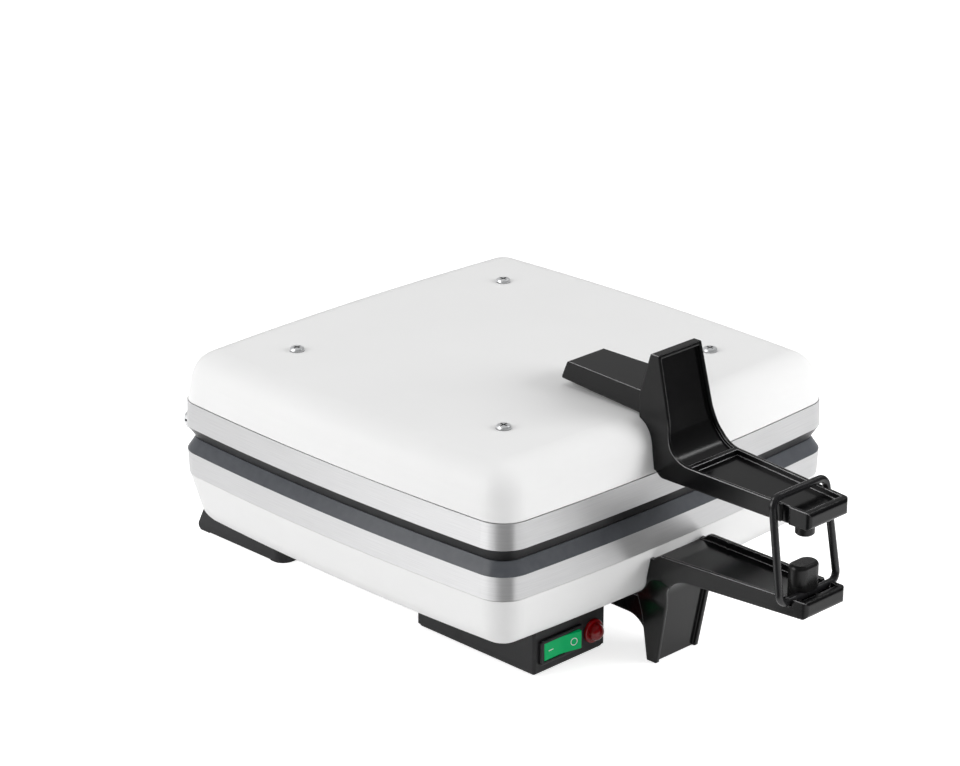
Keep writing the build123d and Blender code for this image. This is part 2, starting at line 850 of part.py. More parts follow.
with BuildPart() as handle_stop:
    with BuildSketch(level(stop_top + socket_depth - fit, -1)):
        with Locations((0, -keeper_reach)):
            Circle(stop_radius)
    extrude(amount=stop_length)
    chamfer(handle_stop.faces().sort_by(Axis.Z)[0].edges(), length=0.8)
finish(handle_stop.part, "handle_stop")

# Bail: one closed loop of wire, leaning back over the upper grip
bail_lean = degrees(atan(bail_lean_back / bail_loop_height))
bail_length = bail_loop_height / cos(radians(bail_lean))
bail_plane = Plane(
    (0, body_y - bail_reach, bail_z),
    x_dir=(1, 0, 0),
    z_dir=(0, -cos(radians(bail_lean)), sin(radians(bail_lean))),
)
with BuildPart() as bail:
    with BuildLine(bail_plane) as loop:
        FilletPolyline(
            (-bail_foot_half_width, 0), (-bail_top_half_width, bail_length),
            (bail_top_half_width, bail_length), (bail_foot_half_width, 0),
            radius=bail_bend_radius, close=True,
        )
    with BuildSketch(Plane(loop.line @ 0, z_dir=loop.line % 0)):
        Circle(bail_wire_radius)
    sweep(path=loop.line)
finish(bail.part, "bail")

# Keeper: the block on the lower tray that holds the bail down
with BuildPart() as bail_keeper:
    with BuildSketch(level(keeper_base + fit)):
        with Locations((0, -keeper_reach)):
            SlotOverall(keeper_length, keeper_width)
    extrude(amount=keeper_height)
    fillet(bail_keeper.faces().sort_by(Axis.Z)[-1].edges(), radius=keeper_edge_radius)
    with BuildSketch(side()):
        with Locations((-bail_reach, bail_z)):
            Circle(bail_wire_radius + bail_clearance)
        with Locations((-bail_reach, lower_tray_floor)):
            Rectangle(2 * (bail_wire_radius + bail_clearance), 2 * (bail_z - lower_tray_floor))
    extrude(amount=keeper_length, both=True, mode=Mode.SUBTRACT)
    with BuildSketch(level(keeper_base)):
        with Locations((0, -keeper_reach + keeper_screw_back)):
            Circle(keeper_screw_radius + fit)
    extrude(amount=keeper_screw_length, mode=Mode.SUBTRACT)
finish(bail_keeper.part, "bail_keeper")
finish(
    screws(level(keeper_screw_seat - fit, -1), [(0, -keeper_reach + keeper_screw_back)],
           keeper_screw_head_radius, screw_head_height, keeper_screw_radius,
           keeper_screw_length),
    "keeper_screw",
)

# Cover screws, heads out
finish(
    screws(level(upper_cover_top + fit), upper_screw_places, screw_head_radius,
           screw_head_height, screw_shank_radius, screw_shank_length),
    "upper_cover_screws",
)
finish(
    screws(level(ground_clearance - fit, -1), lower_screw_places, screw_head_radius,
           screw_head_height, screw_shank_radius, screw_shank_length),
    "lower_cover_screws",
)

# Hinge screws: pan heads outside the lid's lugs, shanks into the base's lugs
with BuildPart() as hinge_screws:
    for sx in (-1, 1):
        seat_plane = Plane(
            (sx * (lug_outer_x + 2 * fit), body_y + hinge_y, hinge_z),
            x_dir=(0, 1, 0), z_dir=(sx, 0, 0),
        )
        add(screws(seat_plane, [(0, 0)], hinge_head_radius, hinge_head_height,
                   hinge_pin_radius, 2 * lug_width))
finish(hinge_screws.part, "hinge_screws")


# Rear feet: wedges under and behind the lower cover
def rear_foot(sx):
    """One rear foot, hollow underneath between a front pad and a heel."""
    heel = foot_rear + foot_heel_radius * (foot_rear_lean + sqrt(1 + foot_rear_lean**2) - 1)
    with BuildPart() as foot:
        with BuildSketch(side(sx * foot_middle_x)):
            with BuildLine():
                FilletPolyline(
                    (foot_front, 0),
                    (foot_front + foot_front_pad, 0),
                    (foot_front + foot_front_pad, foot_relief),
                    (foot_rear - foot_heel_wall, foot_relief),
                    (foot_rear - foot_heel_wall, 0),
                    (heel, 0),
                    (heel - foot_heel_height * foot_rear_lean, foot_heel_height),
                    (half_depth - foot_top_setback, foot_shoulder),
                    (half_depth - foot_top_length, foot_shoulder),
                    (foot_front, ground_clearance + 2),
                    radius=[0, 0, 0, 0, 0, foot_heel_radius, 14.0, 0, 0, 0],
                    close=True,
                )
            make_face()
        extrude(amount=foot_width / 2, both=True)
        upright = foot.edges().filter_by(Axis.Z).group_by(Axis.Y)[0]
        fillet(upright, radius=foot_front_corner)
        hollow_front = foot_front + foot_front_pad
        hollow_rear = foot_rear - foot_heel_wall - 2 * foot_wall
        with BuildSketch(level(0)):
            with Locations((sx * foot_middle_x, (hollow_front + hollow_rear) / 2)):
                Rectangle(foot_width - 2 * foot_wall, hollow_rear - hollow_front)
        extrude(amount=foot_heel_height - foot_wall, mode=Mode.SUBTRACT)
        with BuildSketch(level(0)):
            with Locations((sx * foot_middle_x, foot_screw_y)):
                Circle(screw_shank_radius + hole_play)
        extrude(amount=foot_shoulder, mode=Mode.SUBTRACT)
        add(lower_cover_form(seat).part, mode=Mode.SUBTRACT)
    return foot.part


finish(rear_foot(-1), "rear_foot_left")
finish(rear_foot(1), "rear_foot_right")
foot_roof = foot_heel_height - foot_wall
finish(
    screws(level(foot_roof - fit, -1), foot_screw_places, screw_head_radius,
           screw_head_height, screw_shank_radius, foot_screw_length),
    "foot_screws",
)

# Control box under the front left of the base
box_bottom = box_floor_clearance + box_base_thickness
box_top = ground_clearance - fit
switch_x = switch_from_left - box_left
lamp_x = box_width - box_left - lamp_from_right
mains_x = box_width - box_left - mains_fitting_from_right
mains_z = (box_bottom + box_top) / 2
body_half_length = rocker_length / 2 + 2 * rocker_play + 0.3 + switch_wall
body_half_height = rocker_height / 2 + rocker_play + switch_wall

with BuildPart() as control_box:
    with BuildSketch(level(box_bottom)):
        with Locations((box_middle_x, box_middle_y)):
            RectangleRounded(box_width, box_depth, box_edge_radius)
    extrude(amount=box_top - box_bottom)
    with BuildSketch(level(box_bottom)):
        with Locations((box_middle_x, box_middle_y)):
            Rectangle(box_width - 2 * box_wall, box_depth - 2 * box_wall)
    extrude(amount=box_top - box_bottom - box_wall, mode=Mode.SUBTRACT)
    with BuildSketch(front(-box_front)):
        with Locations((switch_x, switch_height)):
            Rectangle(2 * (body_half_length + fit), 2 * (body_half_height + fit))
        with Locations((lamp_x, lamp_height)):
            Circle(lamp_barrel_radius + fit)
    extrude(amount=-2 * box_wall, mode=Mode.SUBTRACT)
    with BuildSketch(front(box_depth - box_front)):
        with Locations((mains_x, mains_z)):
            Circle(lead_body_radius + fit)
    extrude(amount=2 * box_wall, mode=Mode.SUBTRACT)
    with BuildSketch(level(box_top)):
        with Locations(*box_screw_places):
            Circle(screw_shank_radius + hole_play)
        with Locations(lead_hole_place):
            Circle(lead_hole_radius)
    extrude(amount=-2 * box_wall, mode=Mode.SUBTRACT)
finish(control_box.part, "control_box")

with BuildPart() as control_box_base:
    with BuildSketch(level(box_floor_clearance)):
        with Locations((box_middle_x, box_middle_y)):
            RectangleRounded(
                box_width - 2 * box_base_inset, box_depth - 2 * box_base_inset, box_edge_radius
            )
    extrude(amount=box_base_thickness - fit)
    chamfer(control_box_base.faces().sort_by(Axis.Z)[0].edges(), length=0.7)
finish(control_box_base.part, "control_box_base")

finish(
    screws(level(box_top - box_wall - fit, -1), [(-x, y) for x, y in box_screw_places],
           screw_head_radius, screw_head_height, screw_shank_radius, 2.5 * box_wall),
    "box_screws",
)

with BuildPart() as terminal_block:
    with BuildSketch(level(box_bottom)):
        with Locations(lead_hole_place):
            Rectangle(terminal_block_length, terminal_block_width)
    extrude(amount=terminal_block_height)
    with BuildSketch(level(box_bottom + terminal_block_height)):
        with Locations(lead_hole_place):
            with GridLocations(terminal_pitch, terminal_row_pitch, 3, 2):
                Circle(terminal_radius)
    extrude(amount=-terminal_depth, mode=Mode.SUBTRACT)
finish(terminal_block.part, "terminal_block")

# Rocker switch: housing with a bezel, and the rocker on its two pins
cavity_depth = rocker_pivot_depth + rocker_belly + 1.2
with BuildPart() as switch_housing:
    with BuildSketch(front(-box_front)):
        with Locations((switch_x, switch_height)):
            RectangleRounded(bezel_length, bezel_height, bezel_corner)
    extrude(amount=bezel_proud)
    fillet(switch_housing.faces().sort_by(Axis.Y)[0].outer_wire().edges(), radius=0.7)
    with BuildSketch(front(-box_front)):
        with Locations((switch_x, switch_height)):
            Rectangle(2 * body_half_length, 2 * body_half_height)
    extrude(amount=-switch_depth)
    with BuildSketch(front(-box_front - bezel_proud)):
        with Locations((switch_x, switch_height)):
            Rectangle(
                2 * (body_half_length - switch_wall), 2 * (body_half_height - switch_wall)
            )
    extrude(amount=-bezel_proud - cavity_depth, mode=Mode.SUBTRACT)
    with BuildSketch(level(switch_height)):
        with Locations((switch_x, -box_front + rocker_pivot_depth)):
            Circle(rocker_pin_radius + fit)
    extrude(
        amount=rocker_height / 2 + rocker_pin_length + 2 * fit, both=True, mode=Mode.SUBTRACT
    )
finish(switch_housing.part, "switch_housing")

rocker_plane = Plane(
    (switch_x, body_y - box_front + rocker_pivot_depth, switch_height),
    x_dir=(cos(radians(rocker_swing)), -sin(radians(rocker_swing)), 0),
    z_dir=(0, 0, 1),
)
with BuildPart() as switch_rocker:
    half = rocker_length / 2
    end_out = rocker_end_rise + rocker_pivot_depth
    middle_out = rocker_middle_rise + rocker_pivot_depth
    with BuildSketch(rocker_plane):
        with BuildLine():
            FilletPolyline(
                (-half, -end_out), (0, -middle_out), (half, -end_out),
                (half, 0), (half / 2, rocker_belly), (-half / 2, rocker_belly), (-half, 0),
                radius=[0.8, 20.0, 0.8, 1.5, 2.0, 2.0, 1.5], close=True,
            )
        make_face()
    extrude(amount=rocker_height / 2, both=True)
    with BuildSketch(rocker_plane):
        Circle(rocker_pin_radius)
    extrude(amount=rocker_height / 2 + rocker_pin_length, both=True)
finish(switch_rocker.part, "switch_rocker")

# Indicator lamp
with BuildPart() as indicator_lens:
    lens_plane = front(-box_front - fit)
    with BuildSketch(lens_plane):
        with Locations((lamp_x, lamp_height)):
            Circle(lamp_flange_radius)
    extrude(amount=lamp_flange_thickness)
    fillet(indicator_lens.faces().sort_by(Axis.Y)[0].edges(), radius=0.6)
    with BuildSketch(lens_plane.offset(lamp_flange_thickness)):
        with Locations((lamp_x, lamp_height)):
            Circle(lamp_dome_radius)
    extrude(amount=lamp_dome_length)
    fillet(indicator_lens.faces().sort_by(Axis.Y)[0].edges(), radius=lamp_dome_radius * 0.85)
finish(indicator_lens.part, "indicator_lens")

with BuildPart() as indicator_barrel:
    with BuildSketch(front(-box_front)):
        with Locations((lamp_x, lamp_height)):
            Circle(lamp_barrel_radius)
    extrude(amount=-lamp_barrel_length)
    with BuildSketch(front(-box_front + box_wall + fit)):
        with Locations((lamp_x, lamp_height)):
            RegularPolygon(lamp_nut_radius, 6, major_radius=False)
    extrude(amount=-lamp_nut_thickness)
finish(indicator_barrel.part, "indicator_barrel")


# Lead fittings: one on each half at the back, and the mains one on the box
def lead_fitting(x, y, height, tail, nut_radius, bore_radius, length):
    """Gland nut outside a wall at y, its body through the wall and a bore along it."""
    with BuildPart() as fitting:
        with BuildSketch(front(y)):
            with Locations((x, height)):
                Circle(lead_body_radius)
        extrude(amount=tail)
        with BuildSketch(front(y)):
            with Locations((x, height)):
                RegularPolygon(nut_radius, 6, rotation=30)
        extrude(amount=-lead_nut_thickness)
        with BuildSketch(front(y + lead_nut_thickness)):
            with Locations((x, height)):
                Circle(lead_body_radius + 0.6)
        extrude(amount=-(length - lead_nut_thickness))
        fillet(fitting.faces().sort_by(Axis.Y)[-1].edges(), radius=1.0)
        with BuildSketch(front(y + length)):
            with Locations((x, height)):
                Circle(bore_radius)
        extrude(amount=length + tail, mode=Mode.SUBTRACT)
    return fitting.part


lead_seat_y = half_depth - cover_set_in
finish(
    lead_fitting(-lid_lead_x, lead_seat_y, lid_lead_height, lead_tail,
                 lead_nut_radius, lead_bore_radius, lead_nut_thickness + lead_body_length),
    "lid_lead_gland",
)
finish(
    lead_fitting(-base_lead_x, lead_seat_y, base_lead_height, lead_tail,
                 lead_nut_radius, lead_bore_radius, lead_nut_thickness + lead_body_length),
    "base_lead_gland",
)
finish(
    lead_fitting(mains_x, box_depth - box_front + fit, mains_z, lead_tail,
                 mains_nut_radius, mains_bore_radius, mains_length - lead_tail),
    "cable_gland",
)
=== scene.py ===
"""Looks of the bubble waffle maker: finishes, marks on the switch, studio light and camera.

Metres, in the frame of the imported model: +Z up, +Y towards the hinge.
"""

import json
from math import atan, cos, pi, radians, sin

import bmesh
import bpy
from mathutils import Matrix, Vector


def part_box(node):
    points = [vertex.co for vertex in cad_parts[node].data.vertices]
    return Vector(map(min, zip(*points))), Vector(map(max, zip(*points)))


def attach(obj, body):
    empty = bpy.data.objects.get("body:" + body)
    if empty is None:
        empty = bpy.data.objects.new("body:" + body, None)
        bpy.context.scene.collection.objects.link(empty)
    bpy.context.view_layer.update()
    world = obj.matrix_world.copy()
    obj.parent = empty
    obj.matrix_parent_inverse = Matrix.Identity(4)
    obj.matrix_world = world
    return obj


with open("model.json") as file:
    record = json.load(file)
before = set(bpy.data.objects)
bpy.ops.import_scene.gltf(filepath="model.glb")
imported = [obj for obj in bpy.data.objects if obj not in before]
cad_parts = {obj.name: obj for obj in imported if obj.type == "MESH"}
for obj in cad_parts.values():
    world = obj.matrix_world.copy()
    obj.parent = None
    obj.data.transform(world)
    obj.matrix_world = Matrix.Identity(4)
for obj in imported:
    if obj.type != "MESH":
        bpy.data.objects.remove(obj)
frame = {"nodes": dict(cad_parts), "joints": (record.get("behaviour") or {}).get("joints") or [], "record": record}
nodes = frame["nodes"]
joints = {joint["name"]: joint for joint in frame["joints"]}
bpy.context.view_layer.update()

MM = 0.001

# Where the castings are coated: on the chamfers at the seam and all over the pan
cover_low, cover_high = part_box("upper_cover")
plate_low, plate_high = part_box("upper_plate")
SEAM_HEIGHT = joints["lid_hinge"]["pos_m"][2]
COAT_TOP = SEAM_HEIGHT + 6.8 * MM
COAT_BOTTOM = SEAM_HEIGHT - 7.2 * MM
RIM_WIDTH = 16.5 * MM
LUG_GAP = 0.2 * MM
BODY_Y = (cover_low.y + cover_high.y) / 2
LUG_START_Y = 2 * BODY_Y - plate_low.y + LUG_GAP
PAN_HALF = plate_high.x - RIM_WIDTH
BASE_COAT = ((0.078, 0.083, 0.093), (0.092, 0.098, 0.109))
# The lid's coating is the base's coating painted darker: painted shade on the lid's chamfer and pan, which face
# down
LID_COAT_PAINTED_SHADE = ((0.014, 0.014, 0.015), (0.019, 0.019, 0.020))
COAT_ROUGHNESS = 0.34

# Brushed metal of the castings
BRUSHED_DARK = (0.64, 0.64, 0.645)
BRUSHED_LIGHT = (0.70, 0.70, 0.705)
BRUSHED_ROUGHNESS = (0.27, 0.41)
BRUSHED_METALLIC = 0.62
BRUSHED_STRETCH = 0.9
ACROSS_THE_GRAIN = 0.25

# Painted highlights on edges and painted shade in recesses, both too fine for the solids
EDGE_SAMPLES = 6
# Painted highlight on the handle edges: its radius, colour, and how far round the edge and how upward it shows
LIT_EDGE_RADIUS = 1.0 * MM
PAINTED_HIGHLIGHT_COLOUR = (0.60, 0.60, 0.61)
LIT_EDGE_TURN = (0.76, 0.95)
LIT_FROM = (-0.30, -0.20, 0.93)
LIT_FROM_SPREAD = (0.50, 0.82)
# Painted shade in small recesses: how far the occlusion looks, the openness it fades over, and its dark colour
RECESS_REACH = 1.6 * MM
RECESS_OPENNESS = (0.45, 0.85)
RECESS_SHADE_COLOUR = (0.03, 0.03, 0.03)

# Rocker at rest, and the marks on its face, which rises from the middle to each end
ROCKER_PIVOT = joints["switch_tilt"]["pos_m"]
ROCKER_TILT = radians(sum(joints["switch_tilt"]["range_deg"]) / 2)
FACE_MIDDLE = 3.5 * MM
FACE_RISE = 1.5 * MM
FACE_HALF = 12.5 * MM
FACE_SLOPE = FACE_RISE / FACE_HALF
MARK_OFFSET = 7.6 * MM
MARK_THICKNESS = 0.06 * MM
LINE_LENGTH = 3.4 * MM
LINE_WIDTH = 0.45 * MM
RING_OUTER = 2.1 * MM
RING_INNER = 1.65 * MM

# World: levels of the even and of the mirrored light, and where it turns dark or bright
WORLD_BRIGHT = 0.56
WORLD_DARK = 0.07
DARK_SIDE = (-0.61, -0.61, 0.5)
DARK_SIDE_SPREAD = (0.66, 0.92)
MIRRORED_BRIGHT = 0.46
MIRRORED_DIM = 0.04
BRIGHT_SIDE = (-0.10, 0.75, 0.65)
BRIGHT_SIDE_SPREAD = (-0.35, 0.9)

# Floor: white, but mirrored it fades with distance and has a dark strip off the near corner, painted shade that
# the brushed bands reflect
FLOOR_SIZE = 30.0
FLOOR_WHITE = (0.86, 0.86, 0.86)
FLOOR_DARK = (0.10, 0.10, 0.10)
FLOOR_GLOW = 0.74
FLOOR_GLOW_MIRRORED = 0.40
STRIP_START = (-0.11, -0.11, 0.0)
STRIP_HEADING = (-0.7, -0.71, 0.0)
STRIP_SPREAD = (0.72, 0.90)
FLOOR_FADE = (0.5, 1.4)

# Camera, fitted to the photograph, and what the lamps are aimed at
CAMERA_PLACE = (-1.1395, -1.10365, 0.7386)
CAMERA_TARGET = (-0.00965, 0.03602, 0.1137)
CAMERA_SENSOR = 36.0
CAMERA_LENS = 123.46
CAMERA_SHIFT = 0.003
LAMP_TARGET = (0.0, 0.0, 0.1)


# Node helpers
def new_material(name):
    """Empty node material with a Principled shader."""
    material = bpy.data.materials.new(name)
    material.use_nodes = True
    return material


def tree_and_shader(material):
    """Node tree of a material and its Principled shader."""
    return material.node_tree, material.node_tree.nodes["Principled BSDF"]


def add_node(tree, kind, **settings):
    """New node with its properties and input values set."""
    node = tree.nodes.new(kind)
    for key, value in settings.items():
        if key in node.inputs:
            node.inputs[key].default_value = value
        else:
            setattr(node, key, value)
    return node


def feed(tree, socket, value):
    """Give an input a number, a vector, a colour or the output of another node."""
    if isinstance(value, bpy.types.NodeSocket):
        tree.links.new(value, socket)
    elif socket.type == "RGBA":
        socket.default_value = (*value, 1.0)
    else:
        socket.default_value = value


def math_node(tree, operation, first, second=0.0):
    """One arithmetic step on sockets or numbers."""
    node = add_node(tree, "ShaderNodeMath", operation=operation)
    feed(tree, node.inputs[0], first)
    feed(tree, node.inputs[1], second)
    return node.outputs[0]


def multiply(tree, first, second):
    """Product of two sockets or numbers."""
    return math_node(tree, "MULTIPLY", first, second)


def one_minus(tree, value):
    """The rest up to 1."""
    return math_node(tree, "SUBTRACT", 1.0, value)


def vector_node(tree, operation, first, second=(0.0, 0.0, 0.0)):
    """One step on vectors, with a number as its result where the operation gives one."""
    node = add_node(tree, "ShaderNodeVectorMath", operation=operation)
    feed(tree, node.inputs[0], first)
    feed(tree, node.inputs[1], second)
    gives_number = operation in ("DOT_PRODUCT", "LENGTH")
    return node.outputs["Value" if gives_number else "Vector"]


def remap(tree, value, to, source=(0.3, 0.7)):
    """Linear map of a value from the range source to the range to, held at its ends."""
    node = add_node(tree, "ShaderNodeMapRange")
    ends = ("From Min", "From Max", "To Min", "To Max")
    for end, number in zip(ends, (*source, *to)):
        node.inputs[end].default_value = number
    tree.links.new(value, node.inputs["Value"])
    return node.outputs["Result"]


def blend_colours(tree, mask, first, second):
    """First colour where the mask is 0, second where it is 1."""
    node = add_node(tree, "ShaderNodeMix", data_type="RGBA")
    factor, colour_a, colour_b = node.inputs[0], node.inputs[6], node.inputs[7]
    feed(tree, factor, mask)
    feed(tree, colour_a, first)
    feed(tree, colour_b, second)
    return node.outputs[2]


def noise(tree, scale, detail=3.0, stretch=(1.0, 1.0, 1.0)):
    """Noise in object space, finer along an axis whose stretch is larger."""
    place = add_node(tree, "ShaderNodeTexCoord")
    mapping = add_node(tree, "ShaderNodeMapping", Scale=stretch)
    field = add_node(tree, "ShaderNodeTexNoise", Scale=scale, Detail=detail)
    tree.links.new(place.outputs["Object"], mapping.inputs["Vector"])
    tree.links.new(mapping.outputs["Vector"], field.inputs["Vector"])
    return field.outputs["Fac"]


def rounded_normal(tree, radius):
    """Normal that turns round the edges as if they had this radius."""
    return add_node(tree, "ShaderNodeBevel", samples=EDGE_SAMPLES, Radius=radius).outputs[0]


def bump(tree, shader, height, strength, distance=0.2 * MM, edge=0.0):
    """Bump from a height socket, over edges that look rounded where a radius is given."""
    node = add_node(tree, "ShaderNodeBump", Strength=strength, Distance=distance)
    tree.links.new(height, node.inputs["Height"])
    tree.links.new(node.outputs["Normal"], shader.inputs["Normal"])
    if edge:
        tree.links.new(rounded_normal(tree, edge), node.inputs["Normal"])


def retint(tree, shader, mask, colour):
    """Turn the shader's colour into another where the mask is 1."""
    base = shader.inputs["Base Color"]
    tree.links.new(blend_colours(tree, mask, base.links[0].from_socket, colour), base)


# Finishes
def plain(
    name, colour, roughness, spread=0.05, metallic=0.0, specular=0.5, grain=900.0, relief=0.1,
    shade=0.08, edge=0.0,
):
    """Finish with small changes of roughness and shade, and a fine grain."""
    material = new_material(name)
    tree, shader = tree_and_shader(material)
    smooth, rough = max(roughness - spread, 0.02), roughness + spread
    tree.links.new(remap(tree, noise(tree, 60.0), (smooth, rough)), shader.inputs["Roughness"])
    darker = tuple(c * (1 - shade) for c in colour)
    lighter = tuple(min(c * (1 + shade), 1.0) for c in colour)
    cloud = remap(tree, noise(tree, 25.0), (0.0, 1.0))
    tree.links.new(blend_colours(tree, cloud, darker, lighter), shader.inputs["Base Color"])
    shader.inputs["Metallic"].default_value = metallic
    shader.inputs["Specular IOR Level"].default_value = specular
    bump(tree, shader, noise(tree, grain), relief, edge=edge)
    return material


def coating_mask(tree):
    """1 on the chamfers at the seam and all over the pan, 0 on the band and the lugs."""
    place = add_node(tree, "ShaderNodeTexCoord")
    split = add_node(tree, "ShaderNodeSeparateXYZ")
    tree.links.new(place.outputs["Object"], split.inputs[0])
    across, depth, height = (split.outputs[axis] for axis in "XYZ")
    near_seam = multiply(
        tree, math_node(tree, "LESS_THAN", height, COAT_TOP),
        math_node(tree, "GREATER_THAN", height, COAT_BOTTOM),
    )
    chamfer = multiply(tree, near_seam, math_node(tree, "LESS_THAN", depth, LUG_START_Y))
    from_middle = math_node(
        tree, "MAXIMUM", math_node(tree, "ABSOLUTE", across),
        math_node(tree, "ABSOLUTE", math_node(tree, "SUBTRACT", depth, BODY_Y)),
    )
    pan = math_node(tree, "LESS_THAN", from_middle, PAN_HALF)
    return math_node(tree, "MAXIMUM", chamfer, pan)


def casting(name, coat):
    """Brushed band with its grain along it, and a dark coating where the mask has it."""
    material = new_material(name)
    tree, shader = tree_and_shader(material)
    coated = coating_mask(tree)
    bare = one_minus(tree, coated)

    lines = noise(tree, 40.0, detail=6.0, stretch=(1.0, 1.0, 90.0))
    brushed = blend_colours(
        tree, remap(tree, lines, (0.0, 1.0), (0.35, 0.65)), BRUSHED_DARK, BRUSHED_LIGHT
    )
    grains = blend_colours(tree, remap(tree, noise(tree, 220.0), (0.0, 1.0)), *coat)
    tree.links.new(blend_colours(tree, coated, brushed, grains), shader.inputs["Base Color"])

    blotches = remap(tree, noise(tree, 14.0, detail=2.0), BRUSHED_ROUGHNESS, (0.0, 1.0))
    rough = math_node(
        tree, "ADD", multiply(tree, blotches, bare), multiply(tree, coated, COAT_ROUGHNESS)
    )
    tree.links.new(rough, shader.inputs["Roughness"])
    tree.links.new(multiply(tree, bare, BRUSHED_METALLIC), shader.inputs["Metallic"])
    shader.inputs["Specular IOR Level"].default_value = 0.3
    shader.inputs["Anisotropic"].default_value = BRUSHED_STRETCH
    shader.inputs["Anisotropic Rotation"].default_value = ACROSS_THE_GRAIN
    tangent = add_node(tree, "ShaderNodeTangent", direction_type="RADIAL", axis="Z")
    tree.links.new(tangent.outputs[0], shader.inputs["Tangent"])
    bump(tree, shader, lines, 0.05, 0.1 * MM)
    return material


def painted_glow(material, colour, strength):
    """Painted glow: the coloured plastic emits light of its own, standing in for light soaking through it."""
    shader = tree_and_shader(material)[1]
    shader.inputs["Emission Color"].default_value = (*colour, 1.0)
    shader.inputs["Emission Strength"].default_value = strength
    return material


def painted_recess_shade(material):
    """Painted shade: colour darkened inside small recesses, such as the cross in a screw's head, where ambient
    occlusion finds them.
    """
    tree, shader = tree_and_shader(material)
    open_air = add_node(tree, "ShaderNodeAmbientOcclusion", samples=8, Distance=RECESS_REACH)
    shaded_recess = remap(tree, open_air.outputs["AO"], (1.0, 0.0), RECESS_OPENNESS)
    retint(tree, shader, shaded_recess, RECESS_SHADE_COLOUR)
    return material


def painted_edge_highlights(material):
    """Painted highlight: pale line painted into the colour on the edges that face up, where a rounded edge in
    gloss would catch the lamps.
    """
    tree, shader = tree_and_shader(material)
    rounded = rounded_normal(tree, LIT_EDGE_RADIUS)
    flat = add_node(tree, "ShaderNodeNewGeometry").outputs["Normal"]
    off_edge = vector_node(tree, "DOT_PRODUCT", rounded, flat)
    upward = vector_node(tree, "DOT_PRODUCT", rounded, LIT_FROM)
    painted_highlight = multiply(
        tree, remap(tree, off_edge, (1.0, 0.0), LIT_EDGE_TURN),
        remap(tree, upward, (0.0, 1.0), LIT_FROM_SPREAD),
    )
    retint(tree, shader, painted_highlight, PAINTED_HIGHLIGHT_COLOUR)
    return material


finishes = {
    "painted_cover": plain(
        "white_paint", (0.858, 0.858, 0.856), 0.42, spread=0.03, specular=0.15, grain=380.0,
        relief=0.05, shade=0.006,
    ),
    "cast_plate": casting("cast_plate", BASE_COAT),
    # Handles: painted highlights on the upward-facing edges
    "gloss_handle": painted_edge_highlights(plain(
        "gloss_handle", (0.004, 0.004, 0.0043), 0.17, spread=0.03, specular=0.32, grain=500.0,
        relief=0.03, edge=1.2 * MM,
    )),
    "satin_black": plain(
        "satin_black", (0.010, 0.010, 0.010), 0.26, specular=0.3, edge=0.5 * MM
    ),
    "matt_black": plain(
        "matt_black", (0.014, 0.014, 0.015), 0.42, spread=0.06, specular=0.3, relief=0.2,
        edge=0.5 * MM,
    ),
    # Screws: painted shade in the cross of each head
    "zinc_screw": painted_recess_shade(plain(
        "zinc_screw", (0.80, 0.81, 0.82), 0.30, spread=0.06, metallic=0.75, relief=0.2
    )),
    "bail_wire": plain("bail_wire", (0.012, 0.012, 0.013), 0.25, spread=0.06),
    "heater_sheath": plain(
        "heater_sheath", (0.30, 0.28, 0.26), 0.5, spread=0.1, metallic=1.0
    ),
    "shield_sheet": plain("shield_sheet", (0.66, 0.66, 0.67), 0.35, spread=0.08, metallic=1.0),
    # Rocker and lens: painted glow through the coloured plastic
    "green_rocker": painted_glow(
        plain(
            "green_rocker", (0.0, 0.33, 0.10), 0.2, spread=0.03, specular=0.15, edge=0.4 * MM
        ),
        (0.0, 0.9, 0.28), 0.12,
    ),
    "red_lens": painted_glow(
        plain("red_lens", (0.26, 0.003, 0.006), 0.10, spread=0.03), (0.8, 0.0, 0.0), 0.02
    ),
    "terminal_white": plain("terminal_white", (0.78, 0.77, 0.73), 0.45),
}
# Upper plate: its coating painted darker as painted shade, since its faces look down
own_finishes = {"upper_plate": casting("cast_plate_lid_painted_shade", LID_COAT_PAINTED_SHADE)}

slot_of = {entry["node"]: entry["material_slot"] for entry in frame["record"]["subparts"]}
for node_name, node in nodes.items():
    finish = own_finishes.get(node_name, finishes[slot_of[node_name]])
    node.data.materials.clear()
    node.data.materials.append(finish)


# Line and ring on the rocker
def circle(radius, count=40):
    """Points round a circle."""
    angles = [2 * pi * i / count for i in range(count)]
    return [(radius * cos(angle), radius * sin(angle)) for angle in angles]


def bar(length, width):
    """Corners of a bar."""
    x = length / 2
    z = width / 2
    return [(-x, -z), (x, -z), (x, z), (-x, z)]


def on_face(side):
    """Place of a mark on one half of the rocker's face, half of it sunk in."""
    out = FACE_MIDDLE + MARK_OFFSET * FACE_SLOPE
    return (
        Matrix.Translation(ROCKER_PIVOT)
        @ Matrix.Rotation(-ROCKER_TILT, 4, "Z")
        @ Matrix.Translation((side * MARK_OFFSET, MARK_THICKNESS - out, 0.0))
        @ Matrix.Rotation(-side * atan(FACE_SLOPE), 4, "Z")
    )


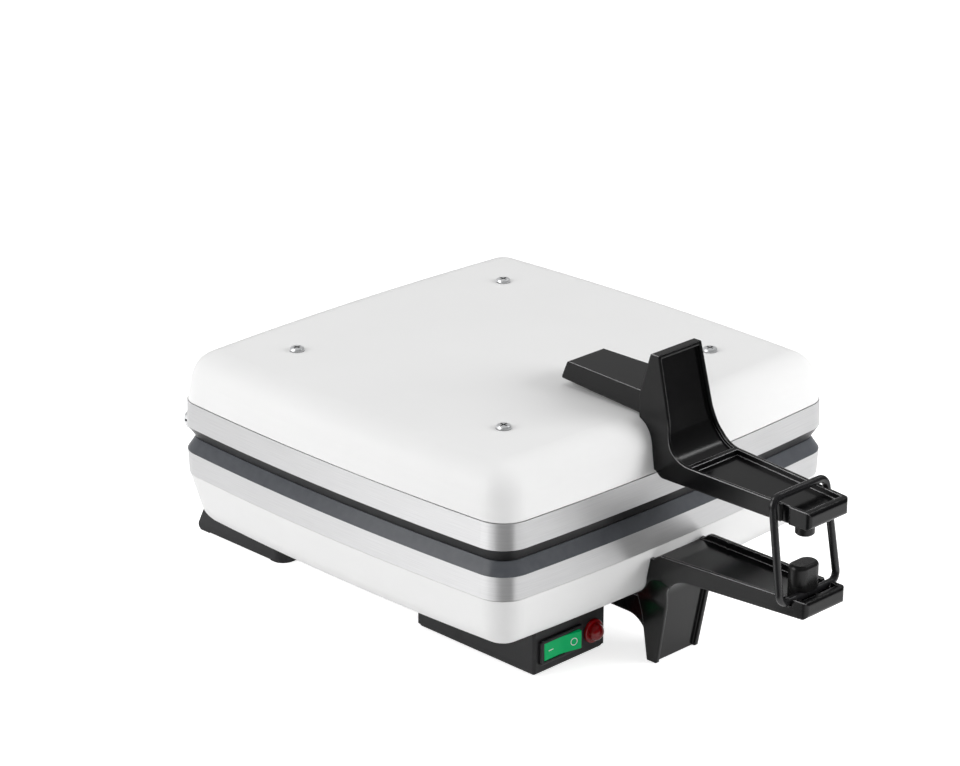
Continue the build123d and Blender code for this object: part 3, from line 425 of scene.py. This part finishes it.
def rocker_mark(name, outlines, side, paint):
    """Raised mark on the rocker's face, inside one outline or between two."""
    mesh = bmesh.new()
    loops = [[mesh.verts.new((along, 0.0, up)) for along, up in points] for points in outlines]
    for outer, inner in zip(loops, loops[1:]):
        outer_next = outer[1:] + outer[:1]
        inner_next = inner[1:] + inner[:1]
        for corners in zip(outer, outer_next, inner_next, inner):
            mesh.faces.new(corners)
    if len(loops) == 1:
        mesh.faces.new(loops[0])
    raised = bmesh.ops.extrude_face_region(mesh, geom=mesh.faces[:])["geom"]
    moved = [item for item in raised if isinstance(item, bmesh.types.BMVert)]
    bmesh.ops.translate(mesh, verts=moved, vec=(0.0, -2 * MARK_THICKNESS, 0.0))
    bmesh.ops.recalc_face_normals(mesh, faces=mesh.faces[:])
    bmesh.ops.transform(mesh, matrix=on_face(side), verts=mesh.verts[:])
    data = bpy.data.meshes.new(name)
    mesh.to_mesh(data)
    mesh.free()
    data.materials.append(paint)
    piece = bpy.data.objects.new(name, data)
    bpy.context.scene.collection.objects.link(piece)
    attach(piece, "rocker")


mark_paint = plain("mark_paint", (0.80, 0.82, 0.80), 0.4)
rocker_mark("mark_line", [bar(LINE_LENGTH, LINE_WIDTH)], -1, mark_paint)
rocker_mark("mark_ring", [circle(RING_OUTER), circle(RING_INNER)], 1, mark_paint)


# Studio
def painted_mirror_shade(tree):
    """Painted shade for the reflections: where the floor is dark in the gloss, along the strip and far from the
    object.
    """
    place = add_node(tree, "ShaderNodeNewGeometry").outputs["Position"]
    from_start = vector_node(tree, "SUBTRACT", place, STRIP_START)
    heading = vector_node(tree, "NORMALIZE", from_start)
    along_strip = vector_node(tree, "DOT_PRODUCT", heading, STRIP_HEADING)
    distance = vector_node(tree, "LENGTH", place)
    return math_node(
        tree, "MAXIMUM", remap(tree, along_strip, (0.0, 1.0), STRIP_SPREAD),
        remap(tree, distance, (0.0, 1.0), FLOOR_FADE),
    )


def floor_piece():
    """White ground that shows the object's shadow."""
    bpy.ops.mesh.primitive_plane_add(size=FLOOR_SIZE)
    ground = bpy.context.object
    ground.name = "floor"
    material = new_material("floor")
    tree, shader = tree_and_shader(material)
    shader.inputs["Roughness"].default_value = 0.9
    shader.inputs["Specular IOR Level"].default_value = 0.0
    path = add_node(tree, "ShaderNodeLightPath")
    reflected = math_node(
        tree, "MAXIMUM", path.outputs["Is Glossy Ray"], path.outputs["Is Transmission Ray"]
    )
    dark = painted_mirror_shade(tree)
    # Seen in the gloss, the floor takes the painted shade in its colour and in its glow
    white = blend_colours(tree, multiply(tree, dark, reflected), FLOOR_WHITE, FLOOR_DARK)
    tree.links.new(white, shader.inputs["Base Color"])
    mirrored_glow = multiply(tree, reflected, one_minus(tree, dark))
    glow = math_node(
        tree, "ADD", multiply(tree, path.outputs["Is Camera Ray"], FLOOR_GLOW),
        multiply(tree, mirrored_glow, FLOOR_GLOW_MIRRORED),
    )
    tree.links.new(glow, shader.inputs["Emission Strength"])
    shader.inputs["Emission Color"].default_value = (1.0, 1.0, 1.0, 1.0)
    ground.data.materials.append(material)


def world_light():
    """White to the camera; to the object a soft studio with a dark and a bright side."""
    world = bpy.data.worlds.new("studio")
    bpy.context.scene.world = world
    world.use_nodes = True
    tree = world.node_tree
    direction = add_node(tree, "ShaderNodeTexCoord").outputs["Generated"]
    to_dark_side = vector_node(tree, "DOT_PRODUCT", direction, DARK_SIDE)
    even = remap(tree, to_dark_side, (WORLD_BRIGHT, WORLD_DARK), DARK_SIDE_SPREAD)
    to_bright_side = vector_node(tree, "DOT_PRODUCT", direction, BRIGHT_SIDE)
    mirrored = math_node(
        tree, "MINIMUM", even,
        remap(tree, to_bright_side, (MIRRORED_DIM, MIRRORED_BRIGHT), BRIGHT_SIDE_SPREAD),
    )
    path = add_node(tree, "ShaderNodeLightPath")
    glossy = path.outputs["Is Glossy Ray"]
    level = math_node(
        tree, "ADD", multiply(tree, mirrored, glossy),
        multiply(tree, even, one_minus(tree, glossy)),
    )
    background = tree.nodes["Background"]
    background.inputs["Color"].default_value = (1.0, 1.0, 1.0, 1.0)
    tree.links.new(
        math_node(tree, "MAXIMUM", path.outputs["Is Camera Ray"], level),
        background.inputs["Strength"],
    )


def aimed(name, data, place, target):
    """Camera or lamp at a place, looking at a target."""
    piece = bpy.data.objects.new(name, data)
    piece.location = place
    aim = Vector(target) - Vector(place)
    piece.rotation_euler = aim.to_track_quat("-Z", "Y").to_euler()
    bpy.context.scene.collection.objects.link(piece)
    return piece


def softbox(name, place, width, height, power, mirrored=True, diffuse=True):
    """Rectangular lamp, for mirrored or even light alone if asked."""
    data = bpy.data.lights.new(name, "AREA")
    data.shape = "RECTANGLE"
    data.size = width
    data.size_y = height
    data.energy = power
    lamp = aimed(name, data, place, LAMP_TARGET)
    lamp.visible_glossy = mirrored
    lamp.visible_diffuse = diffuse


def camera():
    """Camera at the photograph's place."""
    data = bpy.data.cameras.new("camera")
    data.sensor_width = CAMERA_SENSOR
    data.lens = CAMERA_LENS
    data.shift_x = CAMERA_SHIFT
    data.clip_end = 50.0
    bpy.context.scene.camera = aimed("camera", data, CAMERA_PLACE, CAMERA_TARGET)


floor_piece()
world_light()
softbox("key", (-1.65, 0.7, 0.95), width=1.4, height=1.2, power=21.5)
softbox("fill", (1.1, -1.55, 0.8), width=1.2, height=1.0, power=27.5, mirrored=False)
softbox("top", (0.1, 0.2, 2.0), width=1.6, height=1.6, power=4.0, mirrored=False)
softbox("rim_left", (-0.63, 0.92, 1.72), width=0.35, height=0.25, power=5.0, diffuse=False)
softbox("rim_right", (1.3, -0.4, 1.6), width=0.2, height=0.25, power=1.5, diffuse=False)
camera()

bpy.context.scene.view_settings.view_transform = "Standard"
